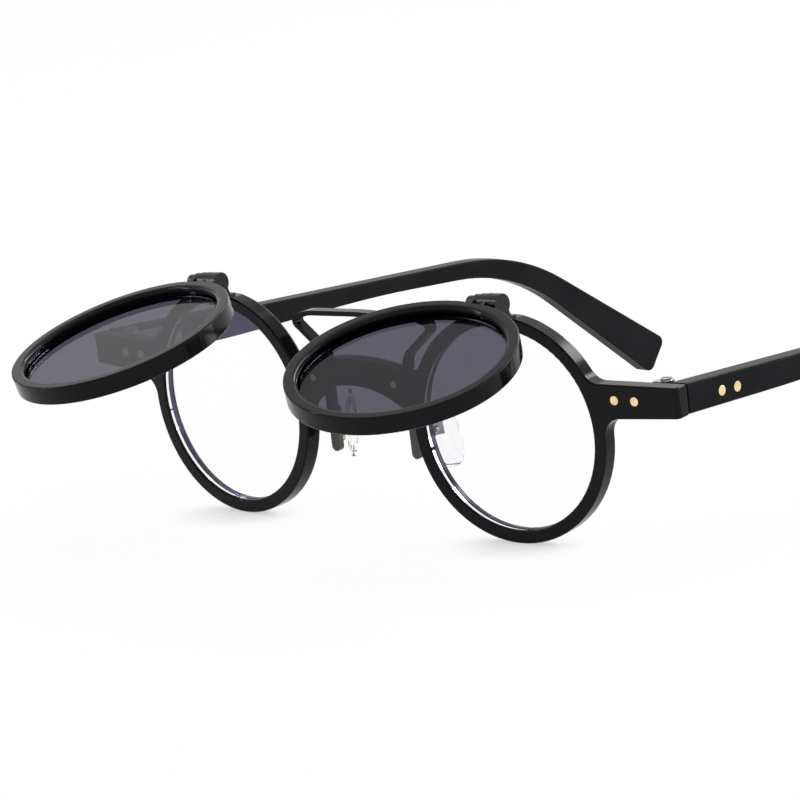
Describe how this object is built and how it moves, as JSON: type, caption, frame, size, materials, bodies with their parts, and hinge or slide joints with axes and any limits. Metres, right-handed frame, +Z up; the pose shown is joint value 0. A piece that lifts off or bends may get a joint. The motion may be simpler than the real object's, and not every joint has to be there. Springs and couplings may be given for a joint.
{
  "type": "flip up sunglasses",
  "caption": "Round acetate spectacles with clear lenses, tinted flips that swing up on hinges over the rims, a metal bar over the bridge, clear nose pads and folding temples.",
  "frame": {"origin": "on the plane the rims and temple tips stand on, under the middle of the bounding box", "axes": "+X to the wearer's left, the front faces -Y, the temples run back along +Y, +Z up"},
  "size_m": [0.138, 0.191, 0.0447],
  "materials": {
    "acetate": "polished",
    "clear_lens": "polished",
    "tinted_lens": "polished",
    "gunmetal": "satin",
    "hinge_metal": "satin",
    "gold": "polished",
    "clear_plastic": "clear",
    "silicone": "soft clear"
  },
  "bodies": {
    "front": {"front_frame": "acetate", "bridge_bar": "gunmetal", "front_rivets": "gold", "bridge_rivets": "gold", "lens_left": "clear_lens", "lens_right": "clear_lens", "flip_fixed_leaf_left": "hinge_metal", "flip_fixed_leaf_right": "hinge_metal", "flip_pin_left": "hinge_metal", "flip_pin_right": "hinge_metal", "front_hinge_leaf_left": "gunmetal", "front_hinge_leaf_right": "gunmetal", "hinge_screw_left": "gunmetal", "hinge_screw_right": "gunmetal", "pad_arm_left": "gunmetal", "pad_arm_right": "gunmetal", "pad_screw_left": "gunmetal", "pad_screw_right": "gunmetal"},
    "flip_left": {"flip_rim_left": "acetate", "flip_lens_left": "tinted_lens", "flip_moving_leaf_left": "hinge_metal"},
    "flip_right": {"flip_rim_right": "acetate", "flip_lens_right": "tinted_lens", "flip_moving_leaf_right": "hinge_metal"},
    "temple_left": {"temple_left": "acetate", "temple_core_left": "gunmetal", "temple_hinge_leaf_left": "gunmetal", "temple_rivets_left": "gold"},
    "temple_right": {"temple_right": "acetate", "temple_core_right": "gunmetal", "temple_hinge_leaf_right": "gunmetal", "temple_rivets_right": "gold"},
    "pad_left": {"pad_insert_left": "clear_plastic", "nose_pad_left": "silicone"},
    "pad_right": {"pad_insert_right": "clear_plastic", "nose_pad_right": "silicone"}
  },
  "joints": [
    {"name": "flip_left_hinge", "type": "hinge", "parent": "front", "child": "flip_left", "pos_m": [0.03304, -0.05418, 0.04274], "axis": [1, 0, 0], "range_deg": [-13, 76.5]},
    {"name": "flip_right_hinge", "type": "hinge", "parent": "front", "child": "flip_right", "pos_m": [-0.03304, -0.05418, 0.04274], "axis": [1, 0, 0], "range_deg": [-13, 76.5]},
    {"name": "temple_left_hinge", "type": "hinge", "parent": "front", "child": "temple_left", "pos_m": [0.06316, -0.04348, 0.02714], "axis": [0, -0.085, 0.9964], "range_deg": [0, 86]},
    {"name": "temple_right_hinge", "type": "hinge", "parent": "front", "child": "temple_right", "pos_m": [-0.06316, -0.04348, 0.02714], "axis": [0, 0.085, -0.9964], "range_deg": [-5.1, 70]},
    {"name": "pad_left_rock", "type": "hinge", "parent": "front", "child": "pad_left", "pos_m": [0.01226, -0.04504, 0.01838], "axis": [0.7154, 0.6858, 0.134], "range_deg": [-8, 8]},
    {"name": "pad_right_rock", "type": "hinge", "parent": "front", "child": "pad_right", "pos_m": [-0.01226, -0.04504, 0.01838], "axis": [-0.7154, 0.6858, 0.134], "range_deg": [-8, 8]}
  ]
}
